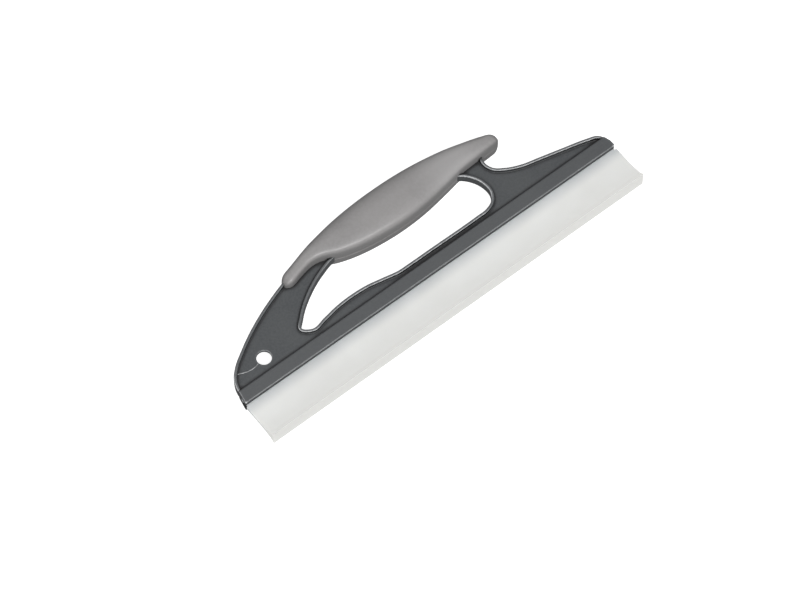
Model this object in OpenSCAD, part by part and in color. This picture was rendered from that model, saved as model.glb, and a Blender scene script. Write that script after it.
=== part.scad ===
// Window cleaning squeegee of the water-blade kind, lying on its back.
// One moulded frame holds a soft silicone blade in a rail; two shells make the hand grip.
// Drawing axes: X along the blade, Y towards the grip, Z through the thickness with the middle
// plane at 0. The rail and the blade are drawn from the rail's mouth, and at_mouth() puts them
// in the drawing. place() moves the drawing to the part's own frame.

/* [Blade] */
// Length of the silicone blade along X
blade_len = 304.8; // [300:0.1:310]
// How far the blade stands out of the rail's mouth
blade_reach = 28.8; // [24:0.1:32]
// Thickness of the blade's plate
plate_t = 3.4; // [2.6:0.1:3.6]
// Width of the T-bar along the blade's wiping edge
tbar_w = 12.6; // [8:0.1:13]
// Thickness of the T-bar at its two wiping edges
tbar_t = 1; // [0.8:0.1:2.5]
// Length of the hollow flare that widens the plate into the T-bar
flare_len = 15; // [4:0.5:16]
// Radius of the round bead that the rail grips
bead_r = 2.2; // [2:0.05:2.4]
// Gap between silicone and rail, each side
rail_gap = 0.15; // [0.1:0.01:0.25]
// How far the bead ends short of the rail's open left end
bead_inset = 1.3; // [0:0.1:3]

/* [Rail] */
// Depth of the rail along Y
rail_d = 10.1; // [9:0.1:12]
// Thickness of the rail along Z
rail_t = 10; // [9:0.1:12]
// Width of the chamfer along the rail's mouth
rail_chamfer = 0.8; // [0.4:0.1:1.2]
// Depth of the bead's centre inside the rail
bead_y = 4.4; // [4:0.1:5]
// Thickness of the wall that closes the channel's right end
end_wall = 2; // [1:0.1:4]

/* [Frame] */
// Thickness of the raised rim round the frame
rim_t = 7; // [6:0.1:8]
// Width of the raised rim
rim_w = 2; // [1.6:0.1:2.4]
// Thickness of the recessed web
web_t = 2.2; // [1.8:0.1:3]
// Radius of the hole for hanging the tool up
hang_r = 5; // [3:0.1:5.5]

/* [Grip] */
// Thickness of the grip at its middle
grip_t = 22; // [20:0.5:26]
// Wall thickness of the grip's two shells
wall = 2.4; // [2:0.1:3]
// Squareness of the grip's edge on the finger side
finger_edge = 4.2; // [2:0.1:5]
// Squareness of the grip's edge on the palm side
palm_edge = 2.5; // [2:0.1:5]

/* [Screws] */
// Radius of the screw's shank, which is also the pilot bore in the front shell
shank_r = 1.45; // [1.2:0.05:1.6]
// Radius of the screw's head
head_r = 2.8; // [2.5:0.1:3]
// Thickness of the screw's head
head_t = 1.8; // [1.4:0.1:2]
// Length of the shank under the head
shank_len = 11.5; // [9:0.5:12]
// Depth of the head's seat below the middle plane
seat_z = 5.6; // [5:0.1:6]

/* [Hidden] */
$fn = 48;

plastic = [0.33, 0.34, 0.35];
shell_grey = [0.58, 0.57, 0.57];
silicone = [0.87, 0.88, 0.88];
steel = [0.72, 0.73, 0.75];

blade_x = blade_len / 2;
slot_h = plate_t / 2 + rail_gap;      // half height of the rail's mouth
bead_clear = bead_r + rail_gap;       // radius of the bead's channel
hinge_y = -1.3;                       // where the lip bends, just outside the rail's mouth
hinge_gap = 0.2;                      // clearance round the bending line
tip_y = -blade_reach;
mouth_y = -1;                         // where the rail's mouth is in the drawing
grip_top_y = 72.4;                    // highest point of the palm side
eps = 0.02;

// Outer edge of the frame, counter-clockwise from the rail's right end: the notch behind the
// grip's heel, the bar under the grip, and the long sweep down to the rail's left end.
frame_pts = [
    [150.4, 6], [150.4, 9.8], [147.4, 13.2], [141.8, 15.2], [124.5, 19.7], [107, 24], [95.5, 26.9],
    [85, 31.8], [79.3, 36.4], [77.5, 41], [78, 45.6], [80.4, 49.2], [84.2, 51.3], [86.7, 53.4],
    [86.8, 56], [84.2, 57.9], [79.5, 58.8], [71, 60.4], [57, 63.9], [32, 67], [5, 68],
    [-23, 66.4], [-48, 62.4], [-68, 57.6], [-82.6, 53.6], [-105.1, 45.3], [-121.2, 37.5],
    [-131.5, 31.4], [-141.3, 24.7], [-147, 18.7], [-149.6, 13.5], [-150.5, 9.6], [-150.5, 6]
];

// Edge of the finger window, clockwise from the right end of its straight lower side.
window_pts = [
    [56, 15.1], [48, 14.8], [10, 14.8], [-9, 14.8], [-16, 14.9], [-27.8, 17.1],
    [-39.5, 19.3], [-51.5, 20], [-63.5, 19.4], [-75, 17.5], [-86, 16], [-91, 20],
    [-85, 26.9], [-71, 37.3], [-55, 44.8], [-42, 48.3], [-24, 46.6], [7, 44.1],
    [32, 46.3], [49, 49], [61.2, 41.6], [66.2, 32], [66.3, 23.5], [62, 17.4]
];

// Edge of the grip on the finger side and on the palm side, as [x, y] knots.
finger_knots = [
    [-84, 48.4], [-75, 49], [-68, 50.9], [-58, 52.7], [-50, 51.6], [-40, 46.9], [-28, 43.3],
    [-13, 40.8], [7, 39.5], [27, 40.5], [47, 43.6], [62, 46.3], [77, 47.2], [88, 47.8],
    [97, 48.4]
];
palm_knots = [
    [-84, 55.7], [-78, 58.2], [-70, 60.4], [-48, 66.5], [-23, 70.8], [5, grip_top_y],
    [32, 71.4], [57, 67.7], [76, 62.7], [89, 58.3], [97, 54.8]
];
grip_x0 = -81.3;                      // left nose of the grip
grip_x1 = 95.3;                       // right nose of the grip
nose_r = 6;                           // length over which the noses round off
screw_spots = [[-52, 56.7], [-20, 56], [22, 56], [68, 54.6]];
post_r = 2.9;                         // screw post of the front shell
post_hole_r = 3.1;                    // its clearance hole in the frame
boss_r = 4.7;                         // tube of the rear shell that holds the screw's head
boss_neck_r = 2.6;                    // its end, which stands on the web between the rims

// ---- curve helpers ----
function dist(a, b) = norm(b - a);
// Tangent at point i of a closed list, weighted by the lengths of its two sides
function tangent(p, i) =
    let (n = len(p), a = p[(i + n - 1) % n], b = p[i], c = p[(i + 1) % n],
         d0 = dist(a, b), d1 = dist(b, c))
    ((b - a) / d0 * d1 + (c - b) / d1 * d0) / (d0 + d1);
// Point at fraction t of side i of the smooth closed curve through every point of p
function on_side(p, i, t) =
    let (j = (i + 1) % len(p), d = dist(p[i], p[j]))
    p[i] * (2 * pow(t, 3) - 3 * t * t + 1) + tangent(p, i) * d * (pow(t, 3) - 2 * t * t + t)
    + p[j] * (3 * t * t - 2 * pow(t, 3)) + tangent(p, j) * d * (pow(t, 3) - t * t);
function smooth_loop(p, steps) =
    [for (i = [0 : len(p) - 1], k = [0 : steps - 1]) on_side(p, i, k / steps)];
// The same for an open run of points: its two end sides stay straight
function smooth_run(p, steps) = [
    p[0],
    for (i = [1 : len(p) - 3], k = [0 : steps - 1]) on_side(p, i, k / steps),
    p[len(p) - 2], p[len(p) - 1]
];
// The closed curve moved sideways by d, to the left of its direction
function shifted(p, d) = [
    for (i = [0 : len(p) - 1])
        let (n = len(p), v = p[(i + 1) % n] - p[(i + n - 1) % n])
        p[i] + [-v[1], v[0]] / norm(v) * d
];
// The open run moved sideways, with square ends
function shifted_run(p, d) = [
    for (i = [0 : len(p) - 1])
        let (v = p[min(i + 1, len(p) - 1)] - p[max(i - 1, 0)])
        p[i] + [-v[1], v[0]] / norm(v) * d
];
// Slope at knot i of an open [x, y] list
function slope(q, i) =
    i == 0 ? (q[1][1] - q[0][1]) / (q[1][0] - q[0][0]) :
    i == len(q) - 1 ? (q[i][1] - q[i - 1][1]) / (q[i][0] - q[i - 1][0]) :
    (q[i + 1][1] - q[i - 1][1]) / (q[i + 1][0] - q[i - 1][0]);
function span_of(q, x, i = 0) = (i >= len(q) - 2 || x <= q[i + 1][0]) ? i : span_of(q, x, i + 1);
// Height of the smooth curve through the knots q at x
function along(q, x) =
    let (i = span_of(q, x), w = q[i + 1][0] - q[i][0], t = (x - q[i][0]) / w)
    q[i][1] * (2 * pow(t, 3) - 3 * t * t + 1) + slope(q, i) * w * (pow(t, 3) - 2 * t * t + t)
    + q[i + 1][1] * (3 * t * t - 2 * pow(t, 3)) + slope(q, i + 1) * w * (pow(t, 3) - t * t);

frame_edge = smooth_run(frame_pts, 4);
window_edge = smooth_loop(window_pts, 4);

// ---- frame ----
module place() translate([0, (blade_reach - mouth_y - grip_top_y) / 2, grip_t / 2]) children();
module at_mouth() translate([0, mouth_y, 0]) children();

module rail_bar() {
    h = rail_t / 2;
    intersection() {
        rotate([90, 0, 90])
            linear_extrude(height = blade_len, center = true)
                polygon([[0, -h + rail_chamfer], [0, h - rail_chamfer], [rail_chamfer, h],
                         [rail_d, h], [rail_d, -h], [rail_chamfer, -h]]);
        linear_extrude(height = rail_t, center = true)
            polygon([[-blade_x, 0], [blade_x - 1.1, 0], [blade_x, 1.3], [blade_x - 0.2, 4.2],
                     [blade_x - 1.9, rail_d], [-blade_x + 1.8, rail_d]]);
    }
}

module rail_channel() {
    reach = blade_len - end_wall + 1;
    translate([-blade_x - 1, 0, 0]) {
        translate([0, bead_y, 0]) rotate([0, 90, 0]) cylinder(r = bead_clear, h = reach);
        translate([0, -1, -slot_h]) cube([reach, bead_y + 1, 2 * slot_h]);
    }
    // the mouth stays open for the lip in front of the end wall
    translate([-blade_x - 1, -1, -slot_h]) cube([blade_len + 2, 1.6, 2 * slot_h]);
}

// The frame's outline at the rim's full thickness
module blank() {
    linear_extrude(height = rim_t, center = true) difference() {
        polygon(frame_edge);
        polygon(window_edge);
    }
}

module plate() {
    difference() {
        blank();
        for (side = [-1, 1])
            translate([0, 0, side * (rim_t + web_t) / 2])
                linear_extrude(height = rim_t, center = true) difference() {
                    polygon(shifted_run(frame_edge, rim_w));
                    polygon(shifted(window_edge, rim_w));
                }
    }
}

module frame() color(plastic) place() difference() {
    union() {
        plate();
        at_mouth() rail_bar();
    }
    at_mouth() rail_channel();
    translate([-122.2, 19.5, -rim_t]) cylinder(r = hang_r, h = 2 * rim_t);
    for (s = screw_spots)
        translate([s[0], s[1], -rim_t]) cylinder(r = post_hole_r, h = 2 * rim_t);
}

// ---- grip ----
stations = [for (k = [0 : 3]) grip_x0 + nose_r * (1 - cos(22 * k)),
            for (k = [0 : 22]) grip_x0 + nose_r + k * (grip_x1 - grip_x0 - 2 * nose_r) / 22,
            for (k = [3 : -1 : 0]) grip_x1 - nose_r * (1 - cos(22 * k))];
arc_steps = 12;
// 1 along the grip, falling to a small flat at its two noses
function nose(x) =
    let (u = max(0, grip_x0 + nose_r - x, x - grip_x1 + nose_r) / nose_r)
    max(0.3, pow(max(0, 1 - pow(u, 2.3)), 1 / 2.3));
// Half thickness of the grip: fullest under the palm, thinner towards the noses
function depth(x) = grip_t / 2 - (x < 8 ? 3.4 * pow((8 - x) / 86, 2) : 1.8 * pow((x - 8) / 84, 2));
function power(v, e) = sign(v) * pow(abs(v), e);
// One half of the grip's cross-section at x, drawn inwards by `inset`
function grip_arc(x, inset, sx) =
    let (lo = along(finger_knots, x), hi = along(palm_knots, x), mid = (lo + hi) / 2,
         half = (hi - lo) / 2 * nose(x) - inset, deep = depth(x) * nose(x) - inset)
    [for (k = [0 : arc_steps])
        let (a = 180 * k / arc_steps, e = 2 / (a < 90 ? finger_edge : palm_edge))
        [sx, mid - half * power(cos(a), e), deep * pow(abs(sin(a)), e)]];
// The inner skin starts one wall in from each nose
function inner_x(x) = grip_x0 + wall * 1.6 + (x - grip_x0) * (1 - 3.2 * wall / (grip_x1 - grip_x0));
function flat(rows) = [for (r = rows, p = r) p];

module half_shell() {
    n = arc_steps + 1;
    m = len(stations);
    outer = [for (x = stations) grip_arc(x, 0, x)];
    inner = [for (x = stations)
        grip_arc(inner_x(x), min(wall, 0.45 * depth(x) * nose(inner_x(x))), inner_x(x))];
    pts = concat(flat(outer), flat(inner));
    o = function(j, k) j * n + k;
    i = function(j, k) (m + j) * n + k;
    faces = concat(
        [for (j = [0 : m - 2], k = [0 : n - 2]) each
            [[o(j, k), o(j, k + 1), o(j + 1, k + 1)], [o(j, k), o(j + 1, k + 1), o(j + 1, k)]]],
        [for (j = [0 : m - 2], k = [0 : n - 2]) each
            [[i(j, k), i(j + 1, k + 1), i(j, k + 1)], [i(j, k), i(j + 1, k), i(j + 1, k + 1)]]],
        [for (j = [0 : m - 2]) [o(j, 0), o(j + 1, 0), i(j + 1, 0), i(j, 0)]],
        [for (j = [0 : m - 2]) [o(j, n - 1), i(j, n - 1), i(j + 1, n - 1), o(j + 1, n - 1)]],
        [[for (k = [n - 1 : -1 : 0]) o(0, k)], [for (k = [0 : n - 1]) o(m - 1, k)],
         [for (k = [0 : n - 1]) i(0, k)], [for (k = [n - 1 : -1 : 0]) i(m - 1, k)],
         [o(0, 0), i(0, 0), i(0, n - 1), o(0, n - 1)],
         [o(m - 1, 0), o(m - 1, n - 1), i(m - 1, n - 1), i(m - 1, 0)]]
    );
    polyhedron(points = pts, faces = faces, convexity = 6);
}

module grip_front_shell() color(shell_grey) place() difference() {
    union() {
        difference() {
            half_shell();
            blank();
        }
        for (s = screw_spots)
            translate([s[0], s[1], -web_t / 2])
                cylinder(r = post_r, h = depth(s[0]) - wall / 2 + web_t / 2);
    }
    for (s = screw_spots)
        translate([s[0], s[1], -rim_t]) cylinder(r = shank_r, h = rim_t + shank_len - seat_z);
}

module grip_rear_shell() color(shell_grey) place() difference() {
    union() {
        difference() {
            mirror([0, 0, 1]) half_shell();
            blank();
        }
        for (s = screw_spots)
            translate([s[0], s[1], -depth(s[0]) + wall / 2]) {
                cylinder(r = boss_r, h = depth(s[0]) - wall / 2 - rim_t / 2 - 0.1);
                cylinder(r = boss_neck_r, h = depth(s[0]) - wall / 2 - web_t / 2);
            }
    }
    for (s = screw_spots) {
        translate([s[0], s[1], -rim_t - 1]) cylinder(r = shank_r + 0.2, h = rim_t + 1);
        translate([s[0], s[1], -grip_t]) cylinder(r = head_r + 0.3, h = grip_t - seat_z);
    }
}

module grip_screw(k) color(steel) place() translate([screw_spots[k][0], screw_spots[k][1], -seat_z]) {
    translate([0, 0, -eps]) cylinder(r = shank_r, h = shank_len - 1 + eps);
    translate([0, 0, shank_len - 1]) cylinder(r1 = shank_r, r2 = 0.4, h = 1, $fn = 48);
    difference() {
        translate([0, 0, -head_t]) cylinder(r = head_r, h = head_t);
        for (turn = [0, 90])
            rotate([0, 0, turn])
                translate([-1.5, -0.35, -head_t - 1]) cube([3, 0.7, 2]);
    }
}

// ---- silicone blade ----
module blade_root() color(silicone) place() at_mouth() difference() {
    length = blade_len - end_wall - rail_gap - bead_inset;
    translate([-blade_x + bead_inset, 0, 0]) {
        translate([0, bead_y, 0]) rotate([0, 90, 0]) cylinder(r = bead_r, h = length);
        translate([0, hinge_y, -plate_t / 2]) cube([length, bead_y - hinge_y, plate_t]);
    }
    translate([-blade_x - 1, hinge_y, 0]) rotate([0, 90, 0])
        cylinder(r = plate_t / 2 + hinge_gap, h = blade_len + 2);
    translate([-blade_x - 1, hinge_y - plate_t, -plate_t])
        cube([blade_len + 2, plate_t + 0.8, 2 * plate_t]);
}

module blade_lip() color(silicone) place() at_mouth() {
    t = plate_t / 2;
    w = tbar_w / 2;
    // one side of the hollow flare, from the plate out to the wiping edge
    side = [for (a = [0 : 7.5 : 90])
        [tip_y + tbar_t + flare_len * (1 - sin(a)), t + (w - t) * (1 - cos(a))]];
    n = len(side) - 1;
    translate([-blade_x, hinge_y, 0]) rotate([0, 90, 0]) cylinder(r = t, h = blade_len);
    rotate([90, 0, 90]) linear_extrude(height = blade_len, center = true)
        polygon(concat([[hinge_y, -t], [hinge_y, t]], side, [[tip_y, w], [tip_y, -w]],
                       [for (i = [n : -1 : 0]) [side[i][0], -side[i][1]]]));
}

frame();
grip_front_shell();
grip_rear_shell();
grip_screw(0);  // grip_screw_1
grip_screw(1);  // grip_screw_2
grip_screw(2);  // grip_screw_3
grip_screw(3);  // grip_screw_4
blade_root();
blade_lip();
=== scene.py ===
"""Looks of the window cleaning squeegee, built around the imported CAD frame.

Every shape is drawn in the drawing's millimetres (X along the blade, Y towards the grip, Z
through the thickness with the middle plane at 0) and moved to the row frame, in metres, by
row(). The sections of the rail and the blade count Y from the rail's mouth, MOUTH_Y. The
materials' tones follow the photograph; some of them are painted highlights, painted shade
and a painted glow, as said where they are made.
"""
import math

import bmesh
import bpy
import numpy as np
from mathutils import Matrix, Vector
from mathutils.geometry import delaunay_2d_cdt


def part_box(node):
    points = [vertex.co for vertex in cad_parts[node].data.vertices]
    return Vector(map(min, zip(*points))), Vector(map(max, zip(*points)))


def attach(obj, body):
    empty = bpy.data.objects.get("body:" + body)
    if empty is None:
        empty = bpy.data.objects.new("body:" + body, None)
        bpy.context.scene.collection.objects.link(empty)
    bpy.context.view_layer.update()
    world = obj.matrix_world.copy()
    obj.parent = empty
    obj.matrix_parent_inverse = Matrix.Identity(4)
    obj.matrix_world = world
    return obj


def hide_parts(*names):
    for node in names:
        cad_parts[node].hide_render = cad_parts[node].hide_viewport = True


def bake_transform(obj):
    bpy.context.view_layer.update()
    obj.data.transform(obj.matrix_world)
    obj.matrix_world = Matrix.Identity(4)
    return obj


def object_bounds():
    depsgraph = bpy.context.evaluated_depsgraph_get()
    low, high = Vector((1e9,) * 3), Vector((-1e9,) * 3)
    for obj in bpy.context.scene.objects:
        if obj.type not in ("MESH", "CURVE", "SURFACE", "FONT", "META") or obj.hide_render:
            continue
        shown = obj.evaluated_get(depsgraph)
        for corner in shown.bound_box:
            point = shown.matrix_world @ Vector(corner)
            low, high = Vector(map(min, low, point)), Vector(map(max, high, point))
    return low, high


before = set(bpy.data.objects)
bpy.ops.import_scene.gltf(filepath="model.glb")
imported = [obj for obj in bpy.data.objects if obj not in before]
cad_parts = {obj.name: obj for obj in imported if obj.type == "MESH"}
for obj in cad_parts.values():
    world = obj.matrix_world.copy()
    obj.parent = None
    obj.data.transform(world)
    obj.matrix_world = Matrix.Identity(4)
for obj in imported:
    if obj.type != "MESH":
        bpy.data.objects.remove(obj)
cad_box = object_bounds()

MM = 0.001

frame_low, frame_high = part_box("frame")
lip_low, lip_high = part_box("blade_lip")
root_low, root_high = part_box("blade_root")
MOUTH_Y = -1.0
# the drawing's origin: halfway along the blade, 1 mm in from the rail's mouth, middle plane
ORIGIN = Vector(((lip_low.x + lip_high.x) / 2, frame_low.y - MOUTH_Y * MM,
                 (frame_low.z + frame_high.z) / 2))
BLADE_X = (lip_high.x - lip_low.x) / 2 / MM
ROOT_LEFT = (root_low.x - ORIGIN.x) / MM
ROOT_RIGHT = (root_high.x - ORIGIN.x) / MM
TIP_Y = (lip_low.y - frame_low.y) / MM
GRIP_HALF = (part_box("grip_front_shell")[1].z - ORIGIN.z) / MM

# ---- outlines, in the drawing's millimetres ----
FRAME_EDGE = [
    (150.4, 6), (150.4, 9.8), (147.4, 13.2), (141.8, 15.2), (124.5, 19.7), (107, 24),
    (95.5, 26.9), (85, 31.8), (79.3, 36.4), (77.5, 41), (78, 45.6), (80.4, 49.2),
    (84.2, 51.3), (86.7, 53.4), (86.8, 56), (84.2, 57.9), (79.5, 58.8), (71, 60.4),
    (57, 63.9), (32, 67), (5, 68), (-23, 66.4), (-48, 62.4), (-68, 57.6), (-82.6, 53.6),
    (-105.1, 45.3), (-121.2, 37.5), (-131.5, 31.4), (-141.3, 24.7), (-147, 18.7),
    (-149.6, 13.5), (-150.5, 9.6), (-150.5, 6)]
WINDOW_EDGE = [
    (56, 15.1), (48, 14.8), (10, 14.8), (-9, 14.8), (-16, 14.9), (-27.8, 17.1),
    (-39.5, 19.3), (-51.5, 20), (-63.5, 19.4), (-75, 17.5), (-86, 16), (-91, 20),
    (-85, 26.9), (-71, 37.3), (-55, 44.8), (-42, 48.3), (-24, 46.6), (7, 44.1),
    (32, 46.3), (49, 49), (61.2, 41.6), (66.2, 32), (66.3, 23.5), (62, 17.4)]
FINGER_KNOTS = [
    (-84, 48.4), (-75, 49), (-68, 50.9), (-58, 52.7), (-50, 51.6), (-40, 46.9),
    (-28, 43.3), (-13, 40.8), (7, 39.5), (27, 40.5), (47, 43.6), (62, 46.3), (77, 47.2),
    (88, 47.8), (97, 48.4)]
PALM_KNOTS = [
    (-84, 55.7), (-78, 58.2), (-70, 60.4), (-48, 66.5), (-23, 70.8), (5, 72.4),
    (32, 71.4), (57, 67.7), (76, 62.7), (89, 58.3), (97, 54.8)]
# the rail's ends, as (distance in from the mouth, x)
RAIL_RIGHT = [(0, 151.3), (1.3, 152.4), (4.2, 152.2), (10.1, 150.5)]
RAIL_LEFT = [(0, -152.4), (10.1, -150.6)]
SCREWS = [(-52, 56.7), (-20, 56), (22, 56), (68, 54.6)]
HANG_HOLE = (-122.2, 19.5)
KNIT_LINE = [(-142.6, 20.4), (-141.4, 19.9), (-138.6, 18.7), (-135.6, 17.8), (-132.6, 17.5),
             (-130, 17.7), (-128.2, 18.2), (-127.5, 18.4)]

# ---- sizes in millimetres: _Z is half a thickness, _R a radius, _D a depth along Y ----
RIM_Z, RIM_W, WEB_Z, HANG_R = 3.5, 2.0, 1.1, 5.0
RAIL_Z, RAIL_D, RAIL_MOUTH_R, RAIL_BACK_R, RAIL_END_R = 5.0, 10.1, 0.95, 1.2, 0.6
SLOT_Z, BEAD_Y, BEAD_BORE, END_WALL = 1.85, 4.4, 2.35, 2.0
PLATE_Z, BEAD_R, BAR_Z, BAR_T, FLARE = 1.7, 2.2, 6.3, 1.0, 15.0
BLADE_EDGE_R, BLADE_END_R = 0.35, 0.9
ROOT_Y = -0.2                       # from here inwards the blade is as short as its root
GRIP_LEFT, GRIP_RIGHT, NOSE, WALL = -81.3, 95.3, 6.0, 2.4
NOSE_POWER, NOSE_TIP = 2.3, 0.12    # how blunt the grip's ends are, and how small they get
FINGER_POWER, PALM_POWER = 4.2, 2.5  # how square the two sides of the grip's section are
DEEPEST_X = 8                       # where the grip is thickest
SEAM_D = 0.3
SCREW_HOLE_R, BOSS_R, BOSS_NECK_R, POST_R = 3.1, 4.7, 2.6, 2.9
SHANK_R, SHANK_LEN, HEAD_R, HEAD_T, SEAT_Z = 1.45, 11.5, 2.8, 1.8, 5.6
PLAN_DENSITY = 0.8                  # points per millimetre on the frame's outlines


def row(x, y, z):
    return ORIGIN + Vector((x, y, z)) * MM


# ---- curves ----
def hermite(p0, p1, m0, m1, t):
    """The cubic from p0 to p1 that leaves along m0 and arrives along m1, at t from 0 to 1."""
    return (p0 * (2 * t**3 - 3 * t * t + 1) + m0 * (t**3 - 2 * t * t + t)
            + p1 * (3 * t * t - 2 * t**3) + m1 * (t**3 - t * t))


def spline(points, closed, density):
    """The part's smooth curve through points: an open run keeps its two end sides straight."""
    p = [np.array(q, float) for q in points]
    n = len(p)

    def tangent(i):
        a, b, c = p[(i - 1) % n], p[i], p[(i + 1) % n]
        d0, d1 = np.linalg.norm(b - a), np.linalg.norm(c - b)
        return ((b - a) / d0 * d1 + (c - b) / d1 * d0) / (d0 + d1)

    out = []
    sides = range(n) if closed else range(1, n - 2)
    for i in sides:
        j = (i + 1) % n
        d = np.linalg.norm(p[j] - p[i])
        count = max(3, int(round(d * density)))
        for k in range(count):
            out.append(hermite(p[i], p[j], tangent(i) * d, tangent(j) * d, k / count))
    if closed:
        return np.array(out)
    return np.array([p[0], (p[0] + p[1]) / 2] + out + [p[-2], (p[-2] + p[-1]) / 2, p[-1]])


def inward(points, closed):
    """Unit normals to the left of the curve's direction."""
    if closed:
        v = np.roll(points, -1, 0) - np.roll(points, 1, 0)
    else:
        v = np.vstack([points[1:], points[-1:]]) - np.vstack([points[:1], points[:-1]])
    v /= np.linalg.norm(v, axis=1)[:, None]
    return np.stack([-v[:, 1], v[:, 0]], 1)


def through(knots, x):
    """Height at x of the smooth curve through knots with rising x."""
    q = knots
    i = max(k for k in range(len(q) - 1) if k == 0 or q[k][0] < x)
    w = q[i + 1][0] - q[i][0]
    t = (x - q[i][0]) / w

    def slope(k):
        a, b = q[max(k - 1, 0)], q[min(k + 1, len(q) - 1)]
        return (b[1] - a[1]) / (b[0] - a[0])

    return hermite(q[i][1], q[i + 1][1], slope(i) * w, slope(i + 1) * w, t)


def arc(cy, cz, r, a0, a1, steps):
    """Points on a circle from angle a0 to a1, in degrees."""
    return [(cy + r * math.cos(math.radians(a0 + (a1 - a0) * k / steps)),
             cz + r * math.sin(math.radians(a0 + (a1 - a0) * k / steps)))
            for k in range(steps + 1)]


# ---- meshes ----
def piece(name, verts, faces):
    """A closed mesh from drawing points, with its normals turned outwards."""
    mesh = bpy.data.meshes.new(name)
    mesh.from_pydata([row(*v) for v in verts], [], faces)
    bm = bmesh.new()
    bm.from_mesh(mesh)
    bmesh.ops.remove_doubles(bm, verts=bm.verts, dist=1e-7)
    bmesh.ops.recalc_face_normals(bm, faces=bm.faces)
    bm.to_mesh(mesh)
    bm.free()
    obj = bpy.data.objects.new(name, mesh)
    bpy.context.scene.collection.objects.link(obj)
    return obj


def capped(rows, cols):
    """The faces of a skin that is closed round its section, with one flat face on each end."""
    last = (rows - 1) * cols
    return grid_faces(rows, cols, wrap_cols=True) + [list(range(cols)),
                                                     [last + k for k in range(cols)]]


def apply_modifiers(obj):
    """Keeps the mesh that the object's modifiers make, and drops them."""
    bpy.context.view_layer.update()
    graph = bpy.context.evaluated_depsgraph_get()
    done = bpy.data.meshes.new_from_object(obj.evaluated_get(graph))
    obj.modifiers.clear()
    obj.data = done


def combine(obj, other, operation, keep=False):
    """Joins or cuts obj with other, which is then deleted unless it is kept."""
    mod = obj.modifiers.new("boolean", "BOOLEAN")
    mod.operation = operation
    mod.object = other
    mod.solver = "EXACT"
    apply_modifiers(obj)
    if not keep:
        bpy.data.objects.remove(other)


def smooth(obj, angle):
    """Smooth shading with hard edges kept above the angle, and small flat fans merged."""
    obj.data.shade_smooth()
    obj.data.set_sharp_from_angle(angle=math.radians(angle))
    mod = obj.modifiers.new("normals", "WEIGHTED_NORMAL")
    mod.keep_sharp = True
    apply_modifiers(obj)


def grid_faces(rows, cols, wrap_rows=False, wrap_cols=False, first=0):
    faces = []
    for i in range(rows if wrap_rows else rows - 1):
        for j in range(cols if wrap_cols else cols - 1):
            a, b = i * cols + j, i * cols + (j + 1) % cols
            c, d = ((i + 1) % rows) * cols + (j + 1) % cols, ((i + 1) % rows) * cols + j
            faces.append([first + k for k in (a, b, c, d)])
    return faces


def turned(name, x, y, rings, steps=48):
    """A turned solid on a Z axis: rings are (radius, z) pairs from one end to the other."""
    verts = []
    for radius, z in rings:
        for k in range(steps):
            a = 2 * math.pi * k / steps
            verts.append((x + radius * math.cos(a), y + radius * math.sin(a), z))
    return piece(name, verts, capped(len(rings), steps))


def tube(name, x, y, z0, z1, r, steps=48):
    return turned(name, x, y, [(r, z0), (r, z1)], steps)


def inside(point, loop):
    """Whether a plan point lies inside a closed loop."""
    x, y = point
    a, b = loop, np.roll(loop, -1, 0)
    crosses = (a[:, 1] > y) != (b[:, 1] > y)
    with np.errstate(divide="ignore", invalid="ignore"):
        at = a[:, 0] + (y - a[:, 1]) / (b[:, 1] - a[:, 1]) * (b[:, 0] - a[:, 0])
    return np.count_nonzero(crosses & (x < at)) % 2 == 1


# ---- frame moulding ----
def rim_profile():
    """(distance in from the edge, z) from the back web over the edge to the front web."""
    crown, inner, root = 0.8, 0.5, 0.55
    half = ([(0, 0.0)]
            + [(crown - y, z) for y, z in arc(0, RIM_Z - crown, crown, 0, 90, 5)]
            + [(y, z) for y, z in arc(RIM_W - inner, RIM_Z - inner, inner, 90, 0, 4)]
            + arc(RIM_W + root, WEB_Z + root, root, 180, 270, 4))
    back = [(d, -z) for d, z in reversed(half[1:])]
    return back + half


def hole_profile():
    """The same for the hanging hole, which has a rounded edge and no rim."""
    r = 0.35
    half = [(0, 0.0)] + [(r - y, z) for y, z in arc(0, WEB_Z - r, r, 0, 90, 4)]
    return [(d, -z) for d, z in reversed(half[1:])] + half


def sweep(path, normals, profile, verts, faces, closed):
    """Adds the swept skin, and returns its back and front web borders as vertex numbers."""
    first, cols = len(verts), len(profile)
    for p, n in zip(path, normals):
        for d, z in profile:
            verts.append((p[0] + n[0] * d, p[1] + n[1] * d, z))
    faces += grid_faces(len(path), cols, wrap_rows=closed, first=first)
    back = [first + i * cols for i in range(len(path))]
    front = [first + i * cols + cols - 1 for i in range(len(path))]
    return back, front


def circle_path(cx, cy, r, steps):
    """A hole's edge, clockwise, so that its normals point into the material."""
    a = np.linspace(0, 2 * np.pi, steps, endpoint=False)
    return np.stack([cx + r * np.cos(-a), cy + r * np.sin(-a)], 1)


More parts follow.
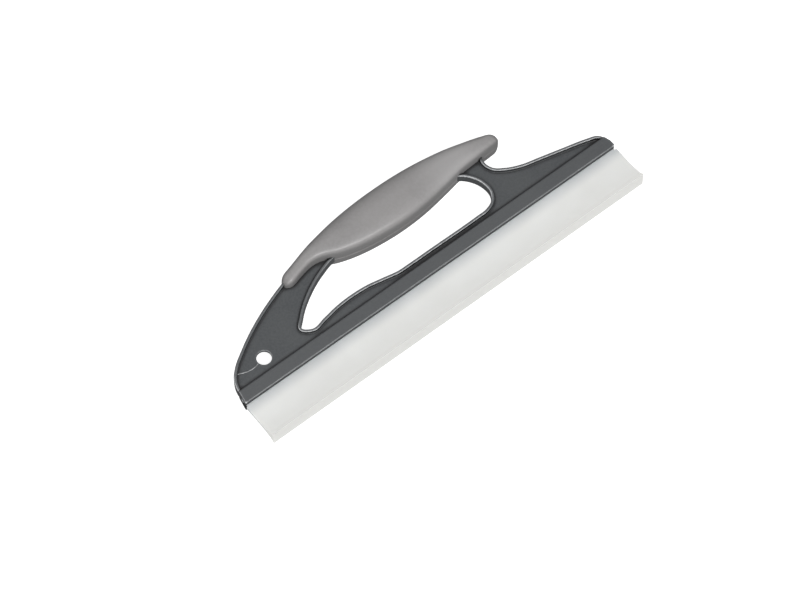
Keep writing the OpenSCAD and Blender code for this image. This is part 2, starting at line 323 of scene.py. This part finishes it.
def web_fill(verts, faces, outer, holes, z):
    """Fills the flat web between its outer border and its holes, over a grid of points."""
    step, gap = 4.0, 1.4        # of the grid, and from the border to its nearest points
    loops = [outer] + holes
    ids, edges = [], []
    for loop in loops:
        start = len(ids)
        ids += loop
        edges += [(start + k, start + (k + 1) % len(loop)) for k in range(len(loop))]
    flat = [(verts[i][0], verts[i][1]) for i in ids]
    shapes = [np.array([flat[k] for k in range(s, s + len(l))]) for s, l in
              zip(np.cumsum([0] + [len(l) for l in loops[:-1]]), loops)]
    border = np.array(flat)
    extra = []

    def in_web(point):
        return inside(point, shapes[0]) and not any(inside(point, s) for s in shapes[1:])

    for x in np.arange(border[:, 0].min() + step / 2, border[:, 0].max(), step):
        for y in np.arange(border[:, 1].min() + step / 2, border[:, 1].max(), step):
            if in_web((x, y)) and np.min(np.hypot(*(border - (x, y)).T)) > gap:
                extra.append((x, y))
    out = delaunay_2d_cdt([Vector(p) for p in flat + extra], edges, [], 0, 1e-5, True)
    number = {}
    points, fill, origin_lists = out[0], out[2], out[3]
    for k, origins in enumerate(origin_lists):
        source = origins[0] if origins else None
        if source is not None and source < len(ids):
            number[k] = ids[source]
        else:
            number[k] = len(verts)
            verts.append((points[k][0], points[k][1], z))
    for f in fill:
        c = sum((Vector(points[k]) for k in f), Vector((0, 0))) / len(f)
        if in_web(c):
            faces.append([number[k] for k in f])


def frame_plate():
    """The web with its rims and its hanging hole. The rail is joined to it later."""
    verts, faces = [], []
    edge = spline(FRAME_EDGE, False, PLAN_DENSITY)
    back, front = sweep(edge, inward(edge, False), rim_profile(), verts, faces, False)
    cols = len(rim_profile())
    # the flat end inside the rail, from the right end's profile to the left end's
    faces.append(list(range(cols)) + [back[-1] + cols - 1 - k for k in range(cols)])
    holes_back, holes_front = [], []
    window = spline(WINDOW_EDGE, True, PLAN_DENSITY)
    hole = circle_path(*HANG_HOLE, HANG_R, 64)
    for path, profile in ((window, rim_profile()), (hole, hole_profile())):
        b, f = sweep(path, inward(path, True), profile, verts, faces, True)
        holes_back.append(b)
        holes_front.append(f)
    web_fill(verts, faces, back, holes_back, -WEB_Z)
    web_fill(verts, faces, front, holes_front, WEB_Z)
    return piece("frame_moulding", verts, faces)


def knit_line():
    """The fine pale line from the rim to the hanging hole: a ridge half sunk in the web."""
    path = spline(KNIT_LINE, False, 2)
    # (distance from its middle, height over the web)
    profile = [(-0.3, -0.2), (-0.3, 0.02), (-0.16, 0.12), (0, 0.16), (0.16, 0.12), (0.3, 0.02),
               (0.3, -0.2)]
    verts = [(p[0] + n[0] * d, p[1] + n[1] * d, WEB_Z + h)
             for p, n in zip(path, inward(path, False)) for d, h in profile]
    return piece("knit_line", verts, capped(len(path), len(profile)))


def rail_bar():
    """The rail with slanted ends and all its edges rounded, before its channel is cut."""
    half = ([(0.0, 0.0), (0.0, RAIL_Z / 2)]
            + arc(RAIL_MOUTH_R, RAIL_Z - RAIL_MOUTH_R, RAIL_MOUTH_R, 180, 90, 6)
            + [(RAIL_D / 2, RAIL_Z)]
            + arc(RAIL_D - RAIL_BACK_R, RAIL_Z - RAIL_BACK_R, RAIL_BACK_R, 90, 0, 6)
            + [(RAIL_D, 0.0)])
    loop = half + [(y, -z) for y, z in reversed(half[1:-1])]
    left_y, left_x = zip(*RAIL_LEFT)
    right_y, right_x = zip(*RAIL_RIGHT)
    cy, r, spans, round_steps = RAIL_D / 2, RAIL_END_R, 40, 4
    # rings as (place along the rail, 0 to 1, inset of the section, distance from the end)
    rings = []
    for k in range(round_steps + 1):
        a = math.pi / 2 * k / round_steps
        rings.append((0, r * (1 - math.sin(a)), r * (1 - math.cos(a))))
    ends = rings[:]
    rings += [(k / spans, 0, None) for k in range(1, spans)]
    rings += [(1, inset, off) for _, inset, off in reversed(ends)]
    verts = []
    for t, inset, off in rings:
        for y, z in loop:
            sy = cy + (y - cy) * (cy - inset) / cy
            sz = z * (RAIL_Z - inset) / RAIL_Z
            lo = np.interp(y, left_y, left_x)
            hi = np.interp(y, right_y, right_x)
            if off is None:
                x = lo + r + t * (hi - lo - 2 * r)
            else:
                x = lo + off if t == 0 else hi - off
            verts.append((x, sy + MOUTH_Y, sz))
    cols = len(loop)
    faces = grid_faces(len(rings), cols, wrap_cols=True)
    for start in (0, (len(rings) - 1) * cols):
        centre = len(verts)
        verts.append(tuple(np.mean([verts[start + k] for k in range(cols)], 0)))
        faces += [[start + k, start + (k + 1) % cols, centre] for k in range(cols)]
    return piece("rail_bar", verts, faces)


def channel_cutter():
    """The bead's channel and the mouth, open at the left end."""
    flare, past, steps = 0.3, 2, 28     # the mouth's wider lips, and the cut past the rail
    meet = math.degrees(math.asin(SLOT_Z / BEAD_BORE))
    loop = [(-past, -SLOT_Z - flare), (-0.1, -SLOT_Z - flare), (0.35, -SLOT_Z)]
    loop += arc(BEAD_Y, 0, BEAD_BORE, 180 + meet, 540 - meet, steps)
    loop += [(0.35, SLOT_Z), (-0.1, SLOT_Z + flare), (-past, SLOT_Z + flare)]
    verts = [(x, y + MOUTH_Y, z) for x in (-BLADE_X - past, BLADE_X - END_WALL)
             for y, z in loop]
    return piece("channel", verts, capped(2, len(loop)))


def mouth_cutter():
    """The mouth in front of the end wall, where the lip passes."""
    verts = [(x, y + MOUTH_Y, z) for x in (0, BLADE_X + 2) for y, z in
             ((-1, -SLOT_Z), (0.6, -SLOT_Z), (0.6, SLOT_Z), (-1, SLOT_Z))]
    return piece("mouth", verts, capped(2, 4))


# ---- grip ----
def nose(x):
    """The section's scale, 1 along the grip and smaller over its two rounded ends."""
    u = max(0, GRIP_LEFT + NOSE - x, x - GRIP_RIGHT + NOSE) / NOSE
    return max(NOSE_TIP, max(0, 1 - u**NOSE_POWER) ** (1 / NOSE_POWER))


def depth(x):
    """Half the grip's thickness at x, which falls by drop over a span from its thickest."""
    drop, span = (3.4, -86) if x < DEEPEST_X else (1.8, 84)
    return GRIP_HALF - drop * ((x - DEEPEST_X) / span) ** 2


def grip_section(x, inset, steps, groove):
    """Half the grip's section at x, from the finger side over the top to the palm side."""
    lo, hi = through(FINGER_KNOTS, x), through(PALM_KNOTS, x)
    mid, half = (lo + hi) / 2, (hi - lo) / 2 * nose(x) - inset
    deep = depth(x) * nose(x) - inset
    out = []
    for k in range(steps + 1):
        a = math.pi * k / steps
        e = FINGER_POWER if a < math.pi / 2 else PALM_POWER
        r = (abs(math.cos(a)) ** e + abs(math.sin(a)) ** e) ** (-1 / e)
        out.append([mid - half * r * math.cos(a), deep * r * abs(math.sin(a))])
    out[0][1] = out[-1][1] = 0.0
    if groove:
        # a V along the parting line, shallower where the noses are small
        groove = min(groove, 0.3 * half)
        rise = groove * 1.2
        out[0][0] += groove
        out[-1][0] -= groove
        out.insert(1, [mid - half, rise])
        out.insert(-1, [mid + half, rise])
    return out


def half_shell(name, side):
    """One hollow shell of the grip, before the middle plane (side 1) or behind it (-1)."""
    stations, ends, steps = 150, 12, 56
    rounding = [NOSE * (1 - math.cos(math.pi / 2 * k / ends)) for k in range(ends)]
    xs = [GRIP_LEFT + r for r in rounding]
    xs += list(np.linspace(GRIP_LEFT + NOSE, GRIP_RIGHT - NOSE, stations - 2 * ends))
    xs += [GRIP_RIGHT - r for r in reversed(rounding)]
    length = GRIP_RIGHT - GRIP_LEFT
    verts, faces, firsts, cols = [], [], [], []
    for inset, groove in ((0, SEAM_D), (WALL, 0)):
        firsts.append(len(verts))
        for x in xs:
            # the inner skin is shorter, and thinner walled where the noses are small
            at = x
            if inset:
                at = GRIP_LEFT + WALL * 1.6 + (x - GRIP_LEFT) * (1 - 3.2 * WALL / length)
            thin = min(inset, 0.45 * depth(at) * nose(at))
            section = grip_section(at, thin, steps, groove)
            verts += [(at, y, side * z) for y, z in section]
        cols.append(len(section))
        faces += grid_faces(len(xs), cols[-1], first=firsts[-1])
    # the flat joint face between the two skins, and their ends
    (fo, fi), (co, ci), n = firsts, cols, len(xs)
    for j in range(n - 1):
        for o, i in ((0, 0), (co - 1, ci - 1)):
            faces.append([fo + j * co + o, fo + (j + 1) * co + o,
                          fi + (j + 1) * ci + i, fi + j * ci + i])
    for j in (0, n - 1):
        faces.append([fo + j * co + k for k in range(co)])
        faces.append([fi + j * ci + k for k in range(ci)])
        faces.append([fo + j * co, fi + j * ci, fi + j * ci + ci - 1, fo + j * co + co - 1])
    return piece(name, verts, faces)


# ---- screws ----
def screw(name, x, y):
    """A pan head screw with a cross recess, driven in from the back."""
    head = [(0.3, -HEAD_T), (HEAD_R * 0.45, -HEAD_T + 0.03), (HEAD_R * 0.75, -HEAD_T + 0.22),
            (HEAD_R * 0.93, -HEAD_T + 0.6), (HEAD_R, -HEAD_T + 1.05), (HEAD_R, -0.12),
            (HEAD_R - 0.12, 0.0), (SHANK_R, 0.0)]
    pitch, core, thread, z = 0.95, SHANK_R - 0.28, [], 0.6
    while z < SHANK_LEN - 1.2:
        thread += [(core, z), (core, z + 0.35), (SHANK_R, z + 0.6), (SHANK_R, z + 0.7)]
        z += pitch
    tip = [(SHANK_R * 0.55, SHANK_LEN - 0.5), (0.15, SHANK_LEN)]
    body = turned(name, x, y, [(r, along - SEAT_Z) for r, along in head + thread + tip], 40)
    arm, slot, taper = 1.55, 0.36, 0.72
    outside, floor_z = -SEAT_Z - HEAD_T - 0.5, -SEAT_Z - HEAD_T + 1.15
    for a, b in ((slot, arm), (arm, slot)):
        verts = [(x + sx * a * scale, y + sy * b * scale, z)
                 for z, scale in ((outside, 1), (floor_z, taper))
                 for sx, sy in ((-1, -1), (1, -1), (1, 1), (-1, 1))]
        combine(body, piece("recess", verts, capped(2, 4)), "DIFFERENCE")
    return body


# ---- silicone blade ----
def blade_profile():
    """Closed section of the blade, (y, z), from the wiping edge round through the bead."""
    meet = math.degrees(math.asin(PLATE_Z / BEAD_R))
    r = BLADE_EDGE_R
    half = [(TIP_Y, 0.0), (TIP_Y, BAR_Z / 2), (TIP_Y, BAR_Z - r)]
    half += arc(TIP_Y + r, BAR_Z - r, r, 180, 90, 4)[1:]
    half += arc(TIP_Y + BAR_T - r, BAR_Z - r, r, 90, 15, 4)
    # the long hollow flare from the wiping edge into the plate, nearly a quarter of an ellipse
    steps, quarter = 28, 0.955
    for k in range(1, steps + 1):
        a = math.pi / 2 * (1 - k / steps) * quarter
        half.append((TIP_Y + BAR_T + FLARE * (1 - math.sin(a)),
                     PLATE_Z + (BAR_Z - PLATE_Z) * (1 - math.cos(a))))
    spacing = 0.9
    y = half[-1][0] + spacing
    while y < -0.5:
        half.append((y, PLATE_Z))
        y += spacing
    neck = BEAD_Y - BEAD_R * math.cos(math.radians(meet))
    half += [(ROOT_Y + 0.05, PLATE_Z), (0.3, PLATE_Z), (neck * 0.6, PLATE_Z)]
    half += arc(BEAD_Y, 0, BEAD_R, 180 - meet, 0, 12)
    return half + [(y, -z) for y, z in reversed(half[1:-1])]


def blade():
    """The whole silicone moulding, with rounded ends and the root shorter than the lip."""
    loop = blade_profile()
    spans, steps = 160, 5
    # rings as (place along the blade, 0 to 1, pull of the rounding, distance from the end)
    ends = [(1 - math.sin(math.pi / 2 * k / steps), 1 - math.cos(math.pi / 2 * k / steps))
            for k in range(steps + 1)]
    rings = [(0, pull, off) for pull, off in ends]
    rings += [(k / spans, 0, None) for k in range(1, spans)]
    rings += [(1, pull, off) for pull, off in reversed(ends)]
    verts = []
    for t, pull, off in rings:
        for y, z in loop:
            # inside the rail the blade ends short of both the open end and the end wall
            lo, hi = (ROOT_LEFT, ROOT_RIGHT) if y > ROOT_Y else (-BLADE_X, BLADE_X)
            if off is None:
                x = lo + BLADE_END_R + t * (hi - lo - 2 * BLADE_END_R)
            else:
                x = lo + off * BLADE_END_R if t == 0 else hi - off * BLADE_END_R
            k = 1 - BLADE_EDGE_R * pull / max(abs(z), 1.5) if abs(z) > 0.01 else 1
            y = min(max(y, TIP_Y + BLADE_END_R * pull), BEAD_Y + BEAD_R - BLADE_EDGE_R * pull)
            verts.append((x, y + MOUTH_Y, z * k))
    cols, last = len(loop), (len(rings) - 1) * len(loop)
    faces = grid_faces(len(rings), cols, wrap_cols=True)
    # each end has a face outside the rail, one inside it and a step between them
    root = [k for k, (y, z) in enumerate(loop) if y > ROOT_Y]
    lip = list(range(root[-1] + 1, cols)) + list(range(root[0]))
    for cap in (lip, root, [lip[-1], root[0], root[-1], lip[0]]):
        faces += [cap, [last + k for k in cap]]
    return piece("silicone_blade", verts, faces)


# ---- materials: colours are linear RGB, noise scales are per metre ----
PLASTIC_IOR, SILICONE_IOR = 1.5, 1.41


class Nodes:
    """A small hand for wiring a material's nodes."""

    def __init__(self, name):
        self.material = bpy.data.materials.new(name)
        self.material.use_nodes = True
        self.tree = self.material.node_tree
        self.shader = self.tree.nodes["Principled BSDF"]
        where = self.add("ShaderNodeTexCoord").outputs
        self.place, self.normal = where["Object"], where["Normal"]

    def add(self, kind, **inputs):
        node = self.tree.nodes.new(kind)
        for key, value in inputs.items():
            self.put(node.inputs[key.replace("_", " ")], value)
        return node

    def put(self, socket, value):
        if isinstance(value, bpy.types.NodeSocket):
            self.tree.links.new(value, socket)
        else:
            socket.default_value = value

    def split(self, vector):
        return self.add("ShaderNodeSeparateXYZ", Vector=vector).outputs

    def noise(self, scale, detail, stretch=(1, 1, 1)):
        mapping = self.add("ShaderNodeMapping", Vector=self.place, Scale=stretch)
        return self.add("ShaderNodeTexNoise", Vector=mapping.outputs[0], Scale=scale,
                        Detail=detail).outputs["Fac"]

    def ramp(self, value, low, high, out_low, out_high):
        """Smoothly from out_low to out_high as value goes from low to high, then flat."""
        node = self.add("ShaderNodeMapRange")
        node.clamp = True
        node.interpolation_type = "SMOOTHSTEP"
        for key, item in (("Value", value), ("From Min", low), ("From Max", high),
                          ("To Min", out_low), ("To Max", out_high)):
            self.put(node.inputs[key], item)
        return node.outputs["Result"]

    def math(self, operation, a, b=0.0):
        node = self.tree.nodes.new("ShaderNodeMath")
        node.operation = operation
        self.put(node.inputs[0], a)
        self.put(node.inputs[1], b)
        return node.outputs[0]

    def add_up(self, terms):
        """The sum of (value, weight) pairs."""
        total = None
        for value, weight in terms:
            part = self.math("MULTIPLY", value, weight)
            total = part if total is None else self.math("ADD", total, part)
        return total

    def mix(self, factor, a, b):
        node = self.tree.nodes.new("ShaderNodeMix")
        node.data_type = "RGBA"
        self.put(node.inputs["Factor"], factor)
        self.put(node.inputs["A"], a if isinstance(a, bpy.types.NodeSocket) else (*a, 1))
        self.put(node.inputs["B"], b if isinstance(b, bpy.types.NodeSocket) else (*b, 1))
        return node.outputs["Result"]

    def mottle(self, pattern, low, high, most, a, b):
        """Colour a with up to most of colour b where the pattern is high."""
        return self.mix(self.ramp(pattern, low, high, 0, most), a, b)

    def shelter(self, distance, inside=False):
        """1 on open surface, less in corners, or at edges when looked at from inside."""
        node = self.add("ShaderNodeAmbientOcclusion", Distance=distance)
        node.inside = inside
        node.only_local = inside
        node.samples = 12
        return node.outputs["AO"]

    def bump(self, height, strength, distance, under=None):
        node = self.add("ShaderNodeBump", Height=height, Strength=strength, Distance=distance)
        if under is not None:
            self.put(node.inputs["Normal"], under)
        return node.outputs["Normal"]

    def finish(self, **inputs):
        for key, value in inputs.items():
            self.put(self.shader.inputs[key.replace("_", " ")], value)
        return self.material


def frame_plastic():
    """Dark grey satin plastic, with painted highlights on the rims' edges and painted shade in
    the corners and beside the mouth.
    """
    n = Nodes("frame_plastic")
    grain, cloud, mould = n.noise(2600, 2.0), n.noise(38, 3.0), n.noise(420, 4.0)
    colour = n.mottle(cloud, 0.35, 0.65, 1, (0.051, 0.055, 0.059), (0.061, 0.065, 0.068))
    colour = n.mottle(n.noise(650, 2.0), 0.35, 0.65, 0.4, colour, (0.078, 0.082, 0.086))
    colour = n.mottle(n.noise(1500, 1.0), 0.66, 0.74, 0.25, colour, (0.10, 0.105, 0.11))
    place, facing = n.split(n.place), n.split(n.normal)
    flat = n.math("ABSOLUTE", facing["Z"])
    # the rail's face, which is higher than the web, is a little paler
    rail = n.ramp(place["Z"], ORIGIN.z + 0.0038, ORIGIN.z + 0.0047, 0, 0.5)
    colour = n.mix(rail, colour, (0.083, 0.087, 0.090))
    # painted highlights on the rims' upper edges, on their sides facing front and left,
    # where they turn to the blade and to the hanging hole
    edge = n.ramp(n.shelter(0.002, True), 0.55, 0.86, 1.0, 0)
    towards = n.add_up([(facing["X"], -0.70), (facing["Y"], -0.45), (flat, 0.55)])
    light = n.math("MULTIPLY", edge, n.ramp(towards, 0.54, 0.68, 0.1, 1))
    light = n.math("MULTIPLY", light, n.ramp(flat, 0.3, 0.6, 0, 1))
    light = n.math("MULTIPLY", light, n.ramp(mould, 0.3, 0.6, 0.6, 1))
    colour = n.mix(light, colour, (0.60, 0.61, 0.62))
    # painted shade: the corners are dark, and so are the front faces beside the mouth
    corner = n.ramp(n.shelter(0.004), 0.64, 0.90, 0.97, 0)
    colour = n.mix(corner, colour, (0.008, 0.008, 0.009))
    upright = n.ramp(flat, 0.3, 0.7, 1, 0)
    lips = n.ramp(place["Y"], frame_low.y + 0.0001, frame_low.y + 0.0005, 0.8, 0)
    colour = n.mix(n.math("MULTIPLY", lips, upright), colour, (0.02, 0.02, 0.022))
    rough = n.ramp(n.add_up([(cloud, 0.6), (mould, 0.4)]), 0.3, 0.7, 0.40, 0.54)
    normal = n.bump(grain, 0.35, 0.00012, n.bump(mould, 0.25, 0.0002))
    return n.finish(Base_Color=colour, Roughness=rough, Normal=normal, IOR=PLASTIC_IOR)


def knit_plastic():
    """The frame's plastic where the knit line makes it paler."""
    n = Nodes("knit_plastic")
    colour = n.mottle(n.noise(500, 3.0), 0.3, 0.7, 1, (0.16, 0.165, 0.17), (0.36, 0.365, 0.37))
    rough = n.ramp(n.noise(900, 2.0), 0.3, 0.7, 0.35, 0.5)
    return n.finish(Base_Color=colour, Roughness=rough,
                    Normal=n.bump(n.noise(2600, 2.0), 0.3, 0.0001), IOR=PLASTIC_IOR)


def grip_plastic():
    """Light grey satin plastic, with a painted sheen on a paler stretch and painted shade."""
    n = Nodes("grip_plastic")
    grain, cloud = n.noise(3200, 2.0), n.noise(26, 3.0)
    flow = n.noise(60, 2.0, stretch=(0.25, 1, 1))
    colour = n.mottle(cloud, 0.35, 0.65, 1, (0.222, 0.216, 0.215), (0.250, 0.243, 0.241))
    colour = n.mottle(n.noise(480, 3.0), 0.3, 0.7, 0.35, colour, (0.285, 0.278, 0.280))
    colour = n.mottle(n.noise(1900, 1.0), 0.68, 0.76, 0.2, colour, (0.33, 0.325, 0.33))
    # painted sheen: paler from the middle towards the right nose
    along = n.split(n.place)["X"]
    pale = n.math("MULTIPLY", n.ramp(along, 0.022, 0.056, 0, 0.72),
                  n.ramp(along, 0.064, 0.088, 1, 0))
    colour = n.mix(pale, colour, (0.325, 0.318, 0.318))
    # painted shade: a little darker on the sides than on the front and back
    flat = n.math("ABSOLUTE", n.split(n.normal)["Z"])
    colour = n.mix(n.ramp(flat, 0.15, 0.6, 0.55, 0), colour, (0.14, 0.14, 0.14))
    # painted shade: dark in the corners, as where the shells meet the frame
    corner = n.ramp(n.shelter(0.002), 0.35, 0.75, 0.85, 0)
    colour = n.mix(corner, colour, (0.03, 0.03, 0.03))
    rough = n.ramp(flow, 0.3, 0.7, 0.33, 0.44)
    normal = n.bump(grain, 0.22, 0.0001, n.bump(flow, 0.15, 0.0004))
    return n.finish(Base_Color=colour, Roughness=rough, Normal=normal, IOR=PLASTIC_IOR)


def blade_silicone():
    """Cloudy silicone. Its tones are set by place, from the rail to the wiping edge."""
    n = Nodes("blade_silicone")
    cloud, fine = n.noise(30, 3.0), n.noise(2400, 2.0)
    draw = n.noise(700, 3.0, stretch=(0.02, 1, 1))
    place = n.split(n.place)
    # painted shade: cooler and duller next to the rail; warmer towards the wiping edge
    near = n.ramp(place["Y"], frame_low.y - 0.010, frame_low.y, 0, 1)
    tip = n.ramp(place["Y"], lip_low.y + 0.0006, lip_low.y + 0.016, 1, 0)
    colour = n.mix(near, (0.30, 0.30, 0.29), (0.22, 0.225, 0.23))
    colour = n.mottle(cloud, 0.3, 0.7, 0.35, colour, (0.37, 0.375, 0.37))
    colour = n.mix(tip, colour, (0.17, 0.17, 0.165))
    # the top edge of the T-bar is darker
    rim = n.ramp(place["Z"], lip_high.z - 0.0016, lip_high.z - 0.0003, 0, 0.8)
    colour = n.mix(rim, colour, (0.08, 0.08, 0.08))
    # painted glow: a low emission adds the brightness that subsurface scattering alone didn't
    # reach, least next to the rail and most at the wiping edge
    painted_glow = n.mix(near, (0.408, 0.412, 0.41), (0.275, 0.29, 0.295))
    painted_glow = n.mix(tip, painted_glow, (0.575, 0.575, 0.56))
    rough = n.ramp(cloud, 0.3, 0.7, 0.55, 0.65)
    normal = n.bump(fine, 0.12, 0.0001, n.bump(draw, 0.12, 0.0001))
    return n.finish(Base_Color=colour, Roughness=rough, Normal=normal, IOR=SILICONE_IOR,
                    Subsurface_Weight=1.0, Subsurface_Radius=(1.0, 1.0, 0.9),
                    Subsurface_Scale=0.012, Emission_Color=painted_glow, Emission_Strength=1.0,
                    Specular_IOR_Level=0.3)


def screw_steel():
    n = Nodes("screw_steel")
    fine = n.noise(900, 3.0)
    colour = n.mottle(fine, 0.3, 0.7, 1, (0.60, 0.60, 0.60), (0.70, 0.70, 0.68))
    return n.finish(Base_Color=colour, Roughness=n.ramp(fine, 0.3, 0.7, 0.28, 0.42),
                    Metallic=1.0, Normal=n.bump(n.noise(2500, 2.0), 0.2, 0.0001))


def floor_material():
    n = Nodes("studio_floor")
    colour = n.mottle(n.noise(3, 2.0), 0.3, 0.7, 1, (0.42, 0.42, 0.42), (0.44, 0.44, 0.44))
    return n.finish(Base_Color=colour, Roughness=0.9, Emission_Color=(1, 1, 1, 1),
                    Emission_Strength=0.95)


# ---- the assembly ----
def dress(obj, material, slot, body, *nodes):
    """Gives a piece its material, its body and the CAD nodes it replaces. The slot is not
    used.
    """
    obj.data.materials.clear()
    obj.data.materials.append(material)
    for polygon in obj.data.polygons:
        polygon.material_index = 0
    if body:
        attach(obj, body)
    if nodes:
        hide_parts(*nodes)


frame_mat, grip_mat = frame_plastic(), grip_plastic()
blade_mat, steel_mat = blade_silicone(), screw_steel()

moulding = frame_plate()
combine(moulding, rail_bar(), "UNION")
combine(moulding, channel_cutter(), "DIFFERENCE")
combine(moulding, mouth_cutter(), "DIFFERENCE")
for x, y in SCREWS:
    hole = tube("post_hole", x, y, -RIM_Z - 1, RIM_Z + 1, SCREW_HOLE_R, 40)
    combine(moulding, hole, "DIFFERENCE")

front = half_shell("grip_front", 1)
rear = half_shell("grip_rear", -1)
for x, y in SCREWS:
    deep = depth(x)
    combine(front, tube("post", x, y, -WEB_Z, deep - WALL / 2, POST_R), "UNION")
    combine(front, tube("pilot", x, y, -RIM_Z, SHANK_LEN - SEAT_Z, SHANK_R, 32), "DIFFERENCE")
    # the boss narrows to a neck where it enters the frame, so that it misses the rim
    shoulder = -RIM_Z - 0.1
    boss = [(BOSS_R, -deep + WALL / 2), (BOSS_R, shoulder), (BOSS_NECK_R, shoulder),
            (BOSS_NECK_R, -WEB_Z)]
    combine(rear, turned("boss", x, y, boss), "UNION")
    combine(rear, tube("bore", x, y, -SEAT_Z - 1, 0.5, SHANK_R + 0.2, 32), "DIFFERENCE")
    head_r = HEAD_R + 0.3
    bore = [(head_r, -SEAT_Z), (head_r, -deep + 0.9), (HEAD_R + 1.5, -deep - 0.6)]
    combine(rear, turned("counterbore", x, y, bore), "DIFFERENCE")
for shell in (front, rear):
    combine(shell, moulding, "DIFFERENCE", keep=True)
    smooth(shell, 40)
smooth(moulding, 34)

dress(moulding, frame_mat, "frame_plastic", "handle", "frame")
line = knit_line()
smooth(line, 40)
dress(line, knit_plastic(), "frame_plastic", "handle")
dress(front, grip_mat, "grip_plastic", "handle", "grip_front_shell")
dress(rear, grip_mat, "grip_plastic", "handle", "grip_rear_shell")
for i, (x, y) in enumerate(SCREWS, 1):
    item = screw(f"screw_{i}", x, y)
    smooth(item, 30)
    dress(item, steel_mat, "screw_steel", "handle", f"grip_screw_{i}")

silicone = blade()
smooth(silicone, 50)
dress(silicone, blade_mat, "blade_silicone", None, "blade_root", "blade_lip")
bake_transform(silicone)

# ---- stage ----
FLOOR_DROP, FLOOR_HALF = 0.009, 4.0      # the floor is just below the lip at its limit
floor_mesh = bpy.data.meshes.new("floor")
floor_mesh.from_pydata([(x * FLOOR_HALF, y * FLOOR_HALF, 0) for x, y in
                        ((-1, -1), (1, -1), (1, 1), (-1, 1))], [], [(0, 1, 2, 3)])
floor = bpy.data.objects.new("floor", floor_mesh)
floor.location = (0, 0, cad_box[0][2] - FLOOR_DROP)
floor_mesh.materials.append(floor_material())
bpy.context.scene.collection.objects.link(floor)
# the floor stays a clean white without lighting the walls of the part from below
floor.visible_diffuse = False
floor.visible_glossy = False


def area_light(name, direction, distance, size, power):
    """A round light in a direction from the tool, turned to face it."""
    data = bpy.data.lights.new(name, "AREA")
    data.shape = "DISK"
    data.size = size
    data.energy = power
    obj = bpy.data.objects.new(name, data)
    way = Vector(direction).normalized()
    obj.location = row(-28, 1.3, 0) + way * distance
    obj.rotation_euler = way.to_track_quat("Z", "Y").to_euler()
    bpy.context.scene.collection.objects.link(obj)


area_light("key", (-0.05, -0.62, 0.78), 2.2, 0.7, 36)
area_light("left", (-0.62, -0.36, 0.66), 2.0, 0.5, 12)
area_light("top", (0.1, 0.1, 1.0), 1.6, 1.2, 4)

WORLD_STRENGTH = 0.27
world = bpy.data.worlds.new("studio")
bpy.context.scene.world = world
world.use_nodes = True
background = world.node_tree.nodes["Background"].inputs
background["Color"].default_value = (1, 1, 1, 1)
background["Strength"].default_value = WORLD_STRENGTH

# ---- camera: the photograph's view from above and to the left ----
AZIMUTH, ELEVATION, DISTANCE = math.radians(-38.39), math.radians(62), 2.583
SENSOR, LENS = 36, 180.9
back = Vector((math.sin(AZIMUTH) * math.cos(ELEVATION),
               -math.cos(AZIMUTH) * math.cos(ELEVATION), math.sin(ELEVATION)))
camera_data = bpy.data.cameras.new("camera")
camera_data.sensor_width = SENSOR
camera_data.lens = LENS
camera_data.clip_end = 50
camera = bpy.data.objects.new("camera", camera_data)
camera.location = row(-28.1, -1.3, 0) + back * DISTANCE
camera.rotation_euler = (-back).to_track_quat("-Z", "Y").to_euler()
bpy.context.scene.collection.objects.link(camera)
bpy.context.scene.camera = camera

scene = bpy.context.scene
scene.view_settings.view_transform = "Standard"
scene.view_settings.look = "None"
